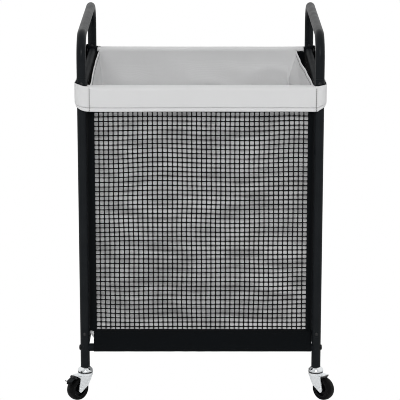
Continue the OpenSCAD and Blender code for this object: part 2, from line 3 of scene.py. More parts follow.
import bpy
import numpy as np
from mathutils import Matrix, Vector


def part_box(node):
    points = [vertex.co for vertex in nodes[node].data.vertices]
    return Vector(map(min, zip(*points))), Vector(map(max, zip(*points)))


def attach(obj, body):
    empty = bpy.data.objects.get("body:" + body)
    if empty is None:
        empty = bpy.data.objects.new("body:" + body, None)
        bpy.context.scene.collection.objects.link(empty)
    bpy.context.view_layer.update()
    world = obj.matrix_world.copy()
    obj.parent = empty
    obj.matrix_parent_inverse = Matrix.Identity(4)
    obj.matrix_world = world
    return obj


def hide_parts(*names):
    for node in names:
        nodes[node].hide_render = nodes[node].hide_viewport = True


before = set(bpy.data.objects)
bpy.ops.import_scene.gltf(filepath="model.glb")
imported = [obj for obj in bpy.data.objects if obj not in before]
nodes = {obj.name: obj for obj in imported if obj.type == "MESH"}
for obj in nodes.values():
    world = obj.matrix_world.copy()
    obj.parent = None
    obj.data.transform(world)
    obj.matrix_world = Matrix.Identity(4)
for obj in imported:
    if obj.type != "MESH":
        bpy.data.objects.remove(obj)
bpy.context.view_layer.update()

MM = 0.001

# ---- Measures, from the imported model's own boxes ----


def box(node):
    """Lowest and highest corner of a CAD node, as two arrays in metres."""
    low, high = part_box(node)
    return np.array(low), np.array(high)


liner_low, liner_high = box("bag_liner")
board_low, board_high = box("base_board")
front_mesh_low, _ = box("front_mesh_panel")
front_cuff_low, front_cuff_high = box("front_cuff")
left_cuff_low, _ = box("left_cuff")
rail_low, rail_high = box("front_bottom_rail")
post_low, post_high = box("front_left_post")

BAG_X, BAG_Y, WALL_TOP = liner_high
BAG_LOW = liner_low[2]
MESH_LOW = front_mesh_low[2] - 2.5 * MM  # the open mesh reaches lower than the solid panel
RIM = front_cuff_high[2]
CUFF_LOW = front_cuff_low[2]
CUFF_Y = -front_cuff_low[1]
CUFF_X = -left_cuff_low[0]
SEAM_X = front_cuff_high[0]
LEG_X = -(post_high[0] + post_low[0]) / 2
LEG_Y = -(post_high[1] + post_low[1]) / 2
CUFF_R = CUFF_X - LEG_X
RAIL_R = (rail_high[2] - rail_low[2]) / 2
RAIL_Z = (rail_high[2] + rail_low[2]) / 2
CLOTH = 1.2 * MM
CORNER_R = 10 * MM  # the bag's upright corners
LINER_R = 6 * MM  # the same corners of the loose liner
TUCK_TOP = BAG_LOW + 17.7 * MM  # from here down the walls turn in towards the base
TUCK_IN = 12 * MM
TUCK_ENDS = 1 * MM
SIDES = {-1: "left", 1: "right"}
ENDS = {-1: "front", 1: "rear"}
# Swivel axis in X and Y, and the heading in degrees in which the wheel trails
CORNERS = {
    "front_left": (-LEG_X, -LEG_Y, 225),
    "front_right": (LEG_X, -LEG_Y, 315),
    "rear_left": (-LEG_X, LEG_Y, 135),
    "rear_right": (LEG_X, LEG_Y, 135),
}
TRAIL = 22 * MM
WHEEL_R = 24 * MM

# ---- Shader helpers ----

# Sockets of a colour mix node
COLOUR_A, COLOUR_B, COLOUR_RESULT = 6, 7, 2


class Nodes:
    """A material's node tree, with short calls for the nodes it needs."""

    def __init__(self, name):
        self.material = bpy.data.materials.new(name)
        self.material.use_nodes = True
        self.tree = self.material.node_tree
        self.shader = self.tree.nodes["Principled BSDF"]
        self.place = self.add("ShaderNodeTexCoord").outputs["Object"]

    def add(self, kind, **settings):
        node = self.tree.nodes.new(kind)
        for key, value in settings.items():
            setattr(node, key, value)
        return node

    def join(self, source, target):
        self.tree.links.new(source, target)

    def set(self, **values):
        for key, value in values.items():
            self.shader.inputs[key.replace("_", " ")].default_value = value

    def noise(self, scale, detail=3.0, rough=0.55, where=None):
        node = self.add("ShaderNodeTexNoise")
        node.inputs["Scale"].default_value = scale
        node.inputs["Detail"].default_value = detail
        node.inputs["Roughness"].default_value = rough
        self.join(where or self.place, node.inputs["Vector"])
        return node.outputs["Fac"]

    def math(self, operation, a, b=None, clamp=False):
        node = self.add("ShaderNodeMath", operation=operation, use_clamp=clamp)
        for socket, value in zip(node.inputs, (a, b)):
            if value is None:
                continue
            if isinstance(value, (int, float)):
                socket.default_value = value
            else:
                self.join(value, socket)
        return node.outputs[0]

    def spread(self, value, low, high, to_low, to_high):
        """value from low to high, mapped to to_low to to_high."""
        node = self.add("ShaderNodeMapRange")
        for key, number in (
            ("From Min", low),
            ("From Max", high),
            ("To Min", to_low),
            ("To Max", to_high),
        ):
            node.inputs[key].default_value = number
        self.join(value, node.inputs["Value"])
        return node.outputs["Result"]

    def shade(self, value, dark, light):
        """A colour between dark at 0 and light at 1."""
        node = self.add("ShaderNodeValToRGB")
        node.color_ramp.elements[0].color = (*dark, 1)
        node.color_ramp.elements[1].color = (*light, 1)
        self.join(value, node.inputs["Fac"])
        return node.outputs["Color"]

    def bump(self, height, distance, strength=1.0, under=None):
        node = self.add("ShaderNodeBump")
        node.inputs["Distance"].default_value = distance
        node.inputs["Strength"].default_value = strength
        self.join(height, node.inputs["Height"])
        if under is not None:
            self.join(under, node.inputs["Normal"])
        return node.outputs["Normal"]

    def feed(self, **sources):
        """Joins sources to the shader's inputs of the same names."""
        for key, source in sources.items():
            self.join(source, self.shader.inputs[key.replace("_", " ")])

    def vary(self, noise, low, high):
        """The usual range of a noise, mapped to low to high."""
        return self.spread(noise, 0.3, 0.7, low, high)

    def split(self, vector=None):
        """X, Y and Z of a vector, or else of the place on the object."""
        node = self.add("ShaderNodeSeparateXYZ")
        self.join(vector or self.place, node.inputs[0])
        return node.outputs

    def scaled(self, factors):
        """The place on the object, with each axis scaled."""
        node = self.add("ShaderNodeMapping")
        node.inputs["Scale"].default_value = factors
        self.join(self.place, node.inputs["Vector"])
        return node.outputs["Vector"]

    def blend(self, factor, first, second):
        """The colour of socket first at factor 0, the plain colour second at 1."""
        node = self.add("ShaderNodeMix", data_type="RGBA")
        self.join(factor, node.inputs[0])
        self.join(first, node.inputs[COLOUR_A])
        node.inputs[COLOUR_B].default_value = (*second, 1)
        return node.outputs[COLOUR_RESULT]

    def weave(self, pitch):
        """Height of a plain weave in any of the three main planes."""
        total = None
        for axis in self.split():
            wave = self.math("SINE", self.math("MULTIPLY", axis, 2 * math.pi / pitch))
            total = wave if total is None else self.math("ADD", total, wave)
        return total


def tinted(colour, factor):
    return tuple(min(1.0, c * factor) for c in colour)


FOLD_SHADE_FADE = 40 * MM  # height over which the painted fold shade dies out upwards
FOOT_SHADE_LOW, FOOT_SHADE_HIGH = 0.12, 0.50  # the painted shade at the foot fades out between these heights
# How much painted shade darkens the foot at its lowest
FOOT_SHADE = 0.12


def painted_fold_shade(n, base, colour, top):
    """Painted shade on the outward faces below a height: soft dark streaks for the shade in folds,
    and shade darkening towards the foot.
    """
    fold_shade_noise = n.noise(13, detail=3, where=n.scaled((1, 1, 5)))
    up = n.split()[2]
    lower = n.spread(up, top, top + FOLD_SHADE_FADE, 1, 0)
    foot = n.spread(up, FOOT_SHADE_LOW, FOOT_SHADE_HIGH, FOOT_SHADE, 0)
    # Faces that look away from the bag's upright middle line
    facing = n.add("ShaderNodeVectorMath", operation="DOT_PRODUCT")
    n.join(n.add("ShaderNodeTexCoord").outputs["Normal"], facing.inputs[0])
    n.join(n.scaled((1, 1, 0)), facing.inputs[1])
    outward = n.spread(facing.outputs["Value"], -0.01, 0.01, 0, 1)
    # Painted shade: the fold streaks plus the darker foot
    dark = n.math("ADD", n.spread(fold_shade_noise, 0.42, 0.66, 0, 0.45), foot)
    share = n.math("MULTIPLY", dark, n.math("MULTIPLY", lower, outward))
    return n.blend(share, base, tinted(colour, 0.25))


def cloth_material(
    name, colour, pitch, depth, roughness, sheen=0.15, mottle=0.05, gloss=0.2, fold_shade_below=None
):
    """Plain woven cloth; pitch and depth are the weave's."""
    n = Nodes(name)
    large = n.noise(11, detail=2)
    fibre = n.noise(1400, detail=2)
    mixed = n.math("ADD", n.math("MULTIPLY", large, 0.6), n.math("MULTIPLY", fibre, 0.4))
    base = n.shade(n.vary(mixed, 0, 1), tinted(colour, 1 - mottle), tinted(colour, 1 + mottle))
    # Below this height the outside gets painted shade of folds and of the foot
    if fold_shade_below:
        base = painted_fold_shade(n, base, colour, fold_shade_below)
    soft = n.bump(n.noise(60, detail=3), 0.6 * MM, 0.35)
    n.set(Sheen_Weight=sheen, Sheen_Roughness=0.5, Specular_IOR_Level=gloss)
    n.feed(
        Base_Color=base,
        Roughness=n.vary(large, roughness - 0.05, roughness + 0.05),
        Normal=n.bump(n.weave(pitch), depth, 0.5, under=soft),
    )
    return n.material


def powder_coat(name, gloss, rough):
    n = Nodes(name)
    wear = n.noise(35, detail=4)
    n.set(Specular_IOR_Level=gloss)
    n.feed(
        Base_Color=n.shade(n.vary(wear, 0, 1), (0.0060, 0.0075, 0.0090), (0.0090, 0.0108, 0.0125)),
        Roughness=n.vary(wear, rough, rough + 0.1),
        Normal=n.bump(n.noise(2600, detail=2), 0.06 * MM, 0.35),
    )
    return n.material


ZINC_DARK, ZINC_LIGHT = (0.90, 0.935, 0.955), (0.965, 0.985, 1.0)
# Black painted on the zinc where there is shade
SHADE_BLACK = (0.006, 0.006, 0.007)
# Soft edge of the shade painted black in the ball race's gap
RACE_SHADE_EDGE = 0.2 * MM
# Soft edge and the heights over which the forks' upper ends turn to shade painted black
SHADE_EDGE = 0.1 * MM
SHADE_LOW, SHADE_FULL = 43 * MM, 43.5 * MM


def race_shade_mask(n, middle, half):
    """1 within a half height of the band's middle, where the shade in the ball race's gap is
    painted black.
    """
    off = n.math("ABSOLUTE", n.math("SUBTRACT", n.split()[2], middle))
    return n.spread(off, half - RACE_SHADE_EDGE, half + RACE_SHADE_EDGE, 1, 0)


def hinge_shade_mask(n, corner, reach):
    """1 on a fork's upper end, beyond a reach from its swivel axis, where shade is painted black.
    """
    x, y, yaw = CORNERS[corner]
    turn = math.radians(yaw)
    parts = n.split()
    along_x = n.math("MULTIPLY", n.math("SUBTRACT", parts[0], x), math.cos(turn))
    along_y = n.math("MULTIPLY", n.math("SUBTRACT", parts[1], y), math.sin(turn))
    beyond = n.spread(n.math("ADD", along_x, along_y), reach - SHADE_EDGE, reach + SHADE_EDGE, 0, 1)
    return n.math("MULTIPLY", beyond, n.spread(parts[2], SHADE_LOW, SHADE_FULL, 0, 1))


def zinc_plate(name, metallic, rough, painted_shade_mask=None):
    """Zinc; the mask function, if given, is called with the material's nodes and says where shade
    is painted black.
    """
    n = Nodes(name)
    cloudy = n.noise(120, detail=4)
    colour = n.shade(n.vary(cloudy, 0, 1), ZINC_DARK, ZINC_LIGHT)
    if painted_shade_mask:
        mask = painted_shade_mask(n)
        # Painted shade: black and not metallic where the mask is 1
        colour = n.blend(mask, colour, SHADE_BLACK)
        n.feed(Metallic=n.spread(mask, 0, 1, metallic, 0))
    else:
        n.set(Metallic=metallic)
    n.feed(
        Base_Color=colour,
        Roughness=n.vary(cloudy, rough, rough + 0.1),
        Normal=n.bump(n.noise(2200, detail=2), 0.02 * MM, 0.25),
    )
    return n.material


def plain_steel(name, dark, light, roughness, metallic):
    n = Nodes(name)
    cloudy = n.noise(300, detail=3)
    n.set(Metallic=metallic)
    n.feed(
        Base_Color=n.shade(n.vary(cloudy, 0, 1), dark, light),
        Roughness=n.vary(cloudy, roughness - 0.06, roughness + 0.06),
        Normal=n.bump(n.noise(1800, detail=2), 0.03 * MM, 0.3),
    )
    return n.material


def moulded(name, colour, roughness, gloss):
    n = Nodes(name)
    cloudy = n.noise(90, detail=3)
    n.set(Specular_IOR_Level=gloss)
    n.feed(
        Base_Color=n.shade(n.vary(cloudy, 0, 1), tinted(colour, 0.85), tinted(colour, 1.2)),
        Roughness=n.vary(cloudy, roughness - 0.05, roughness + 0.05),
        Normal=n.bump(n.noise(1900, detail=2), 0.05 * MM, 0.3),
    )
    return n.material


TREAD_RIBS = 72
TREAD_LOW, TREAD_FULL = 21.5 * MM, 23.2 * MM  # radii between which the ribs rise


def tyre_rubber(corner):
    """Rubber with fine ribs across the tread, turned to the corner's wheel."""
    x, y, yaw = CORNERS[corner]
    turn = math.radians(yaw)
    n = Nodes(f"tyre_rubber_{corner}")
    from_hub = n.add("ShaderNodeVectorMath", operation="SUBTRACT")
    n.join(n.place, from_hub.inputs[0])
    from_hub.inputs[1].default_value = (
        x + TRAIL * math.cos(turn),
        y + TRAIL * math.sin(turn),
        WHEEL_R,
    )
    dot = n.add("ShaderNodeVectorMath", operation="DOT_PRODUCT")
    n.join(from_hub.outputs[0], dot.inputs[0])
    dot.inputs[1].default_value = (math.cos(turn), math.sin(turn), 0)
    along, up = dot.outputs["Value"], n.split(from_hub.outputs[0])[2]
    ribs = n.math("SINE", n.math("MULTIPLY", n.math("ARCTAN2", along, up), TREAD_RIBS))
    squares = n.math("ADD", n.math("MULTIPLY", along, along), n.math("MULTIPLY", up, up))
    on_tread = n.spread(n.math("SQRT", squares), TREAD_LOW, TREAD_FULL, 0, 1)
    dust = n.noise(160, detail=4)
    dusty = n.spread(dust, 0.35, 0.75, 0, 1)
    grain = n.bump(n.noise(1500, detail=2), 0.05 * MM, 0.3)
    n.set(Specular_IOR_Level=0.08)
    n.feed(
        Base_Color=n.shade(dusty, (0.0018, 0.0018, 0.0019), (0.0034, 0.0034, 0.0035)),
        Roughness=n.vary(dust, 0.30, 0.44),
        Normal=n.bump(n.math("MULTIPLY", ribs, on_tread), 0.35 * MM, 0.8, under=grain),
    )
    return n.material


CUFF_COLOUR = (0.668, 0.670, 0.674)
LINER_COLOUR = (0.720, 0.722, 0.726)
BLACK_CLOTH = (0.0040, 0.0050, 0.0060)
STRAND_COLOUR = (0.0060, 0.0060, 0.0064)
BOARD_COLOUR = (0.45, 0.45, 0.46)
# Near black: the thread's own dark colour, taken darker still so the hem's stitched line carries
# the shade of its groove, partly painted shade
GREY_THREAD = (0.05, 0.05, 0.052)
BLACK_THREAD = (0.009, 0.010, 0.011)
RACE_SHADE_BAND = (57.3 * MM, 0.9 * MM)  # middle and half height of the ring of shade painted black in the head's ball race
SHADE_FROM_BRAKED, SHADE_FROM_PLAIN = 26.5 * MM, 24.0 * MM  # beyond this reach a fork's upper end has shade painted black on it

coat = powder_coat("powder_coat", gloss=0.10, rough=0.30)
rail_coat = powder_coat("rail_powder_coat", gloss=0.05, rough=0.55)
zinc = zinc_plate("bright_zinc", metallic=0.45, rough=0.13)
# The heads' zinc has the ball race's shade painted on as a black ring
head_zinc = zinc_plate("head_zinc", 1.0, 0.05, lambda n: race_shade_mask(n, *RACE_SHADE_BAND))
bolt_steel = plain_steel("black_bolt_steel", (0.012, 0.012, 0.013), (0.03, 0.03, 0.032), 0.35, 0.6)
ball_steel = plain_steel("polished_steel", (0.50, 0.50, 0.52), (0.66, 0.66, 0.68), 0.16, 1.0)
black_plastic = moulded("matt_black_plastic", (0.006, 0.006, 0.007), 0.5, gloss=0.18)
hub_plastic = moulded("hub_black_plastic", (0.003, 0.003, 0.0035), 0.25, gloss=0.12)
pad_rubber = moulded("brake_pad_rubber", (0.004, 0.004, 0.004), 0.6, gloss=0.12)
cuff_cloth = cloth_material("cuff_cloth", CUFF_COLOUR, 0.8 * MM, 0.09 * MM, 0.85, mottle=0.025)
# The liner's outside gets painted shade of its folds and foot below 0.585 m
liner_cloth = cloth_material(
    "liner_cloth", LINER_COLOUR, 0.7 * MM, 0.08 * MM, 0.88, mottle=0.03, fold_shade_below=0.585
)
black_cloth = cloth_material(
    "black_cloth", BLACK_CLOTH, 0.8 * MM, 0.1 * MM, 0.8, sheen=0.01, mottle=0.12, gloss=0.06
)
mesh_coat = cloth_material(
    "mesh_strand", STRAND_COLOUR, 0.55 * MM, 0.08 * MM, 0.6, sheen=0.01, mottle=0.15, gloss=0.08
)
board_cloth = cloth_material("board_cloth", BOARD_COLOUR, 0.7 * MM, 0.08 * MM, 0.9, mottle=0.04)
grey_thread = cloth_material("grey_thread", GREY_THREAD, 0.3 * MM, 0.04 * MM, 0.8, sheen=0.1)
black_thread = cloth_material(
    "black_thread", BLACK_THREAD, 0.3 * MM, 0.04 * MM, 0.7, sheen=0.01, gloss=0.08
)

# How the names of the CAD nodes that stay in view end, and their material
LOOKS = (
    (("_hoop", "_post", "_leg", "brake_pedal"), coat),
    (("_rail", "base_support_bars"), rail_coat),
    (("rail_bolts", "tube_joint_screws", "pedal_pin"), bolt_steel),
    ("_axle", zinc),
    ("caster_stems", head_zinc),
    ("swivel_balls", ball_steel),
    ("caster_sockets", black_plastic),
    ("wheel_hub", hub_plastic),
    ("brake_pad", pad_rubber),
)


def fork_zinc(corner):
    braked = f"{corner}_brake_pedal" in nodes
    reach = SHADE_FROM_BRAKED if braked else SHADE_FROM_PLAIN
    # Beyond the reach the upper end is painted black as shade, on braked and plain forks alike
    return zinc_plate(f"zinc_{corner}", 0.45, 0.13, lambda n: hinge_shade_mask(n, corner, reach))


def finish_node(name, material):
    """Gives a CAD node that stays in view its material."""
    obj = nodes[name]
    obj.data.materials.clear()
    obj.data.materials.append(material)


for name in nodes:
    if name.endswith("_fork"):
        finish_node(name, fork_zinc(name.removesuffix("_fork")))
    elif name.endswith("_tyre"):
        finish_node(name, tyre_rubber(name.removesuffix("_tyre")))
    for endings, look in LOOKS:
        if name.endswith(endings):
            finish_node(name, look)

# ---- Cloth helpers ----


def piece(name, points, faces, material, replaces=()):
    """A new smooth mesh piece in the row frame that rides on the frame."""
    mesh = bpy.data.meshes.new(name)
    mesh.from_pydata([tuple(p) for p in np.asarray(points, float)], [], faces)
    mesh.validate()
    mesh.update()
    for face in mesh.polygons:
        face.use_smooth = True
    mesh.materials.append(material)
    obj = bpy.data.objects.new(name, mesh)
    bpy.context.scene.collection.objects.link(obj)
    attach(obj, "frame")
    if replaces:
        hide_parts(*replaces)
    return obj


def grid_faces(rows, columns, closed=False):
    """Quads between rows and columns of points, row by row."""
    last = columns if closed else columns - 1
    return [
        (
            r * columns + c,
            r * columns + (c + 1) % columns,
            (r + 1) * columns + (c + 1) % columns,
            (r + 1) * columns + c,
        )
        for r in range(rows - 1)
        for c in range(last)
    ]


def thicken(obj, thickness, offset=0.0):
    """Cloth thickness; offset -1 puts all of it behind the surface."""
    solid = obj.modifiers.new("cloth_thickness", "SOLIDIFY")
    solid.thickness = thickness
    solid.offset = offset
    solid.use_even_offset = False


def cloth_piece(name, rows, flip, thickness, material, replaces=(), offset=0.0):
    """Cloth through rows of points; flip turns its faces over."""
    faces = grid_faces(len(rows), len(rows[0]))
    if flip:
        faces = [face[::-1] for face in faces]
    obj = piece(name, np.concatenate(rows), faces, material, replaces)
    thicken(obj, thickness, offset)
    return obj


def black_piece(name, rows, flip, thickness, replaces=()):
    return cloth_piece(name, rows, flip, thickness, black_cloth, replaces)


def distances(points):
    """How far along a path each of its points lies."""
    return np.concatenate([[0], np.cumsum(np.linalg.norm(np.diff(points, axis=0), axis=1))])


def toward(angle):
    """The unit vector in a direction of the plane."""
    return np.array([math.cos(angle), math.sin(angle)])


def add_arc(path, outward, centre, r, start, stop, count):
    """Adds an arc, without its first point, to a path and its outward directions."""
    for angle in np.linspace(start, stop, count)[1:]:
        path.append(tuple(centre + r * toward(angle)))
        outward.append(tuple(toward(angle)))


def waves(seed, count, shortest, longest, stretch=(1.0, 1.0)):
    """A smooth random field of two coordinates in metres, about -1 to 1."""
    rng = np.random.default_rng(seed)
    size = np.exp(rng.uniform(math.log(shortest), math.log(longest), count))
    heading = rng.uniform(0, 2 * math.pi, count)
    phase = rng.uniform(0, 2 * math.pi, count)
    weight = size / size.max()
    weight = weight / math.sqrt((weight**2).sum() / 2)
    ku = 2 * math.pi / size * np.cos(heading) / stretch[0]
    kv = 2 * math.pi / size * np.sin(heading) / stretch[1]

    def field(u, v):
        u, v = np.broadcast_arrays(np.asarray(u, float), np.asarray(v, float))
        angle = u[..., None] * ku + v[..., None] * kv + phase
        return (np.sin(angle) * weight).sum(-1) / 2.0

    return field


def ease(value, low, high):
    """0 below low, 1 above high, smooth between."""
    t = np.clip((np.asarray(value, float) - low) / (high - low), 0, 1)
    return t * t * (3 - 2 * t)


def plan_loop(hx, hy, r, step):
    """Points and outward normals round a rounded rectangle, from the front left
    straight, anticlockwise seen from above, for any hx and hy."""
    points, normals = [], []
    sides = [
        ((-1, -1), (1, -1), (0, -1)),
        ((1, -1), (1, 1), (1, 0)),
        ((1, 1), (-1, 1), (0, 1)),
        ((-1, 1), (-1, -1), (-1, 0)),
    ]
    arc = 6
    for index, (a, b, n) in enumerate(sides):
        centre_a = np.array([a[0] * (hx - r), a[1] * (hy - r)])
        centre_b = np.array([b[0] * (hx - r), b[1] * (hy - r)])
        n = np.array(n, float)
        span = 2 * ((BAG_X if n[0] == 0 else BAG_Y) - r)
        count = max(2, round(span / step))
        for i in range(count + 1):
            t = i / count
            points.append(centre_a * (1 - t) + centre_b * t + n * r)
            normals.append(n)
        following = np.array(sides[(index + 1) % 4][2], float)
        for i in range(1, arc):
            angle = math.pi / 2 * i / arc
            d = n * math.cos(angle) + following * math.sin(angle)
            points.append(centre_b + d * r)
            normals.append(d)
    return np.array(points), np.array(normals)


# Each stitch's length, the gap to the next and the thread's width
WALL_HEM_STITCH = (2.6 * MM, 1.1 * MM, 0.5 * MM)
CUFF_HEM_STITCH = (3.2 * MM, 0.7 * MM, 0.7 * MM)
CUFF_SEAM_STITCH = (3.6 * MM, 0.5 * MM, 0.8 * MM)
BINDING_STITCH = (2.6 * MM, 1.0 * MM, 0.45 * MM)
BAND_STITCH = (3.0 * MM, 1.1 * MM, 0.5 * MM)
# Share of a stitch's length, share of its width and lift above the cloth
STITCH_SHAPE = (
    (0.0, 0.35, -0.5),
    (0.2, 0.95, 0.1),
    (0.5, 1.0, 0.35),
    (0.8, 0.95, 0.1),
    (1.0, 0.35, -0.5),
)
STITCH_SIDES = 6


def stitches(name, path, outward, stitch, material):
    """A row of sewn stitches along a path of points, each half sunk in the cloth."""
    length, gap, width = stitch
    path = np.asarray(path, float)
    outward = np.broadcast_to(np.asarray(outward, float), path.shape)
    along = distances(path)
    ring = [(math.cos(a), math.sin(a)) for a in np.arange(STITCH_SIDES) * math.pi / 3]
    points, faces = [], []

    def on(values, s):
        return np.array([np.interp(s, along, values[:, k]) for k in range(3)])

    def at(s):
        """Place, outward and sideways directions at a distance along the path."""
        t = on(path, s + 0.5 * MM) - on(path, s - 0.5 * MM)
        t = t / np.linalg.norm(t)
        o = on(outward, s)
        o = o - t * o.dot(t)
        o = o / np.linalg.norm(o)
        return on(path, s), o, np.cross(t, o)

    for s in np.arange(gap, along[-1] - length, length + gap):
        base = len(points)
        for share, size, lift in STITCH_SHAPE:
            p, o, side = at(s + share * length)
            centre = p + o * lift * width * 0.5
            for c, d in ring:
                points.append(centre + (side * c + o * d) * width / 2 * size)
        tube = grid_faces(len(STITCH_SHAPE), STITCH_SIDES, closed=True)
        faces += [tuple(base + i for i in face) for face in tube]
        faces.append(tuple(base + i for i in range(STITCH_SIDES))[::-1])
        end = len(points) - STITCH_SIDES
        faces.append(tuple(end + i for i in range(STITCH_SIDES)))
    return piece(name, points, faces, material)


# ---- Bag liner: a loose cloth bag inside the mesh ----

folds = waves(11, 16, 0.05, 0.22, stretch=(2.6, 1.0))
warp = waves(12, 8, 0.12, 0.35)
small_folds = waves(13, 18, 0.018, 0.05, stretch=(2.2, 1.0))
slack = waves(14, 6, 0.25, 0.6)


def creased(u, v):
    """Soft cloth creases, 0 on the ridges to 1 in the valleys."""
    shift = 0.018 * warp(u, v)
    f = folds(u + 0.6 * shift, v + shift - 0.10 * np.sin(u * 6.0) * 0.35)
    ridge = 1 - np.abs(np.clip(f, -1.3, 1.3)) / 1.3
    return ridge**2.2


# How far the top edge of each side wall stands in from its straight line, from front to rear
BOW_Y = np.array([-0.21, -0.15, -0.035, 0.078, 0.19, 0.21])
BOW_RIGHT = np.array([0.0, 0.8, 6.0, 13.0, 16.0, 15.5]) * MM
BOW_LEFT = np.array([4.0, 4.5, 2.5, 2.4, 3.3, 3.0]) * MM
# Towards the rear the walls stand in further below their edges; lower down the shift fades
RIGHT_DEEPER, RIGHT_FADE = 10 * MM, (0.068, 0.100)
LEFT_DEEPER, LEFT_FADE = 4 * MM, (0.075, 0.21)


def smooth_interp(x, xs, ys):
    """Interpolation with eased steps between the values."""
    x = np.asarray(x, float)
    out = np.full(x.shape, ys[0], float)
    for i in range(len(xs) - 1):
        t = ease(x, xs[i], xs[i + 1])
        out = out + t * (ys[i + 1] - ys[i])
    return out


def side_bow(x, y, z):
    """Shift along X of the liner's upper walls, towards the middle."""
    drop = WALL_TOP - z
    right_deeper = RIGHT_DEEPER * ease(y, 0.02, 0.19) * ease(drop, 0.0, 0.06)
    right = (smooth_interp(y, BOW_Y, BOW_RIGHT) + right_deeper) * (1 - ease(drop, *RIGHT_FADE))
    left_deeper = LEFT_DEEPER * ease(y, -0.05, 0.19) * ease(drop, 0.0, 0.08)
    left = (smooth_interp(y, BOW_Y, BOW_LEFT) + left_deeper) * (1 - ease(drop, *LEFT_FADE))
    near_right = ease(x, BAG_X - 0.045, BAG_X - 0.006)
    near_left = ease(-x, BAG_X - 0.035, BAG_X - 0.006)
    return -right * near_right + left * near_left


CREASE_DEPTH = 6.5 * MM
SLACK_DEPTH = 3.0 * MM
FINE_DEPTH = 0.7 * MM
WALL_INSET, INSET_BELOW = 1.0 * MM, 0.9 * MM  # inside the mesh at the edge, and more below it
END_TOP = RIM - 1.9 * MM  # the front and rear walls reach up under the cuffs


def liner_point(p, n, s, z):
    """Outside of the liner at plan point p with normal n, path length s and height z."""
    low = ease(z, TUCK_TOP + 2 * MM, TUCK_TOP + 45 * MM)
    top = ease(WALL_TOP - z, 10 * MM, 70 * MM)
    inside = (WALL_INSET + INSET_BELOW * top) * low
    crease = creased(s, z)
    depth = CREASE_DEPTH * crease + SLACK_DEPTH * (0.5 + 0.5 * np.clip(slack(s, z), -1, 1))
    fine = FINE_DEPTH * small_folds(s, z) * (0.4 + 0.6 * crease)
    d = inside + np.maximum(0, depth * top + fine * (0.15 + 0.85 * top)) * low
    out = np.empty(p.shape[:-1] + (3,))
    out[..., 0] = p[..., 0] - n[..., 0] * d
    out[..., 1] = p[..., 1] - n[..., 1] * d
    out[..., 2] = z
    out[..., 0] += side_bow(out[..., 0], out[..., 1], z)
    ends = ease(np.abs(n[..., 1]), 0.2, 0.95)
    out[..., 2] += (END_TOP - WALL_TOP) * ends * ease(z, WALL_TOP - 30 * MM, WALL_TOP)
    return out


def build_liner():
    """The walls from the top down, the tucks and the base, as rings of points."""
    step = 6.5 * MM
    upper = np.linspace(WALL_TOP, WALL_TOP - 0.03, 7)
    lower = np.linspace(WALL_TOP - 0.03, TUCK_TOP, 82)[1:]
    loop, normal = plan_loop(BAG_X, BAG_Y, LINER_R, step)
    count = len(loop)
    s = distances(loop)
    rows = [
        liner_point(loop, normal, s, np.full(count, z)) for z in np.concatenate([upper, lower])
    ]
    for t in np.linspace(0, 1, 6)[1:]:
        p, _ = plan_loop(BAG_X - TUCK_IN * t, BAG_Y - TUCK_ENDS * t, LINER_R, step)
        z = TUCK_TOP + (BAG_LOW + CLOTH / 2 - TUCK_TOP) * t
        rows.append(np.column_stack([p, np.full(count, z)]))
    base = rows[-1]
    for share in (0.97, 0.9, 0.75, 0.5, 0.25, 0.08):
        ring = base.copy()
        ring[:, :2] *= share
        rows.append(ring)
    points = np.concatenate(rows)
    faces = grid_faces(len(rows), count, closed=True)
    faces.append(tuple(len(points) - count + i for i in range(count)))
    flipped = [face[::-1] for face in faces]
    obj = piece("liner", points, flipped, liner_cloth, ["bag_liner"])
    thicken(obj, CLOTH, -1.0)
    return obj


liner = build_liner()

# ---- Folded hems on the free top edges of the side walls ----

WALL_HEM_DROP = 6.5 * MM
WALL_HEM_LIFT = 1.2 * MM
WALL_HEM_HALF = 1.15 * MM


def side_hem(side):
    """Strip folded over the liner's top edge between the front and rear cuffs."""
    name = SIDES[side]
    drop, lift, half = WALL_HEM_DROP, WALL_HEM_LIFT, WALL_HEM_HALF
    y = np.linspace(-BAG_Y + 12 * MM, BAG_Y - 12 * MM, 64)
    flank = [(half, -drop), (half * 1.05, -drop * 0.6), (half, -1.0 * MM)]
    flank.append((half * 0.75, lift * 0.7))
    profile = flank + [(0, lift)] + [(-offset, height) for offset, height in flank[::-1]]
    edge = side * (BAG_X - 0.6 * MM - 0.9 * MM)
    shift = side_bow(side * np.full(y.shape, BAG_X), y, WALL_TOP)
    ripple = 0.25 * MM * small_folds(y * 1.3 + side, 0.2)
    rows = [
        np.column_stack(
            [edge + shift + side * offset + ripple, y, np.full(y.shape, WALL_TOP + height)]
        )
        for offset, height in profile
    ]
    hem = cloth_piece(
        f"{name}_wall_hem", rows, side > 0, 0.5 * MM, liner_cloth, offset=1.0
    )
    sewn = rows[-2].copy()
    sewn[:, 0] -= side * 0.8 * MM
    sewn[:, 2] = WALL_TOP - drop * 0.72
    thread = stitches(
        f"{name}_wall_hem_thread", sewn, (-side, 0, 0), WALL_HEM_STITCH, grey_thread
    )


side_hem(-1)
side_hem(1)

# ---- Open square mesh ----

mesh_drift_u = waves(31, 10, 0.08, 0.28)
mesh_drift_v = waves(32, 10, 0.08, 0.28, stretch=(1.0, 1.4))
CELL = 9.95 * MM
CELL_UP = 9.7 * MM
STRAND = 2.0 * MM
CROSSING_OUT, STRAND_IN = 0.12 * MM, 0.02 * MM  # crossings stand out, strands are thinner
HOLE_CORNER = 0.90  # a hole's corners are drawn in to this share
FRONT_RIGHT_NARROWER = 2.4 * MM  # that corner's binding shows less on the front
# Corners and middles of a cell's sides, once round
CELL_RING = ((-1, -1), (0, -1), (1, -1), (1, 0), (1, 1), (0, 1), (-1, 1), (-1, 0))


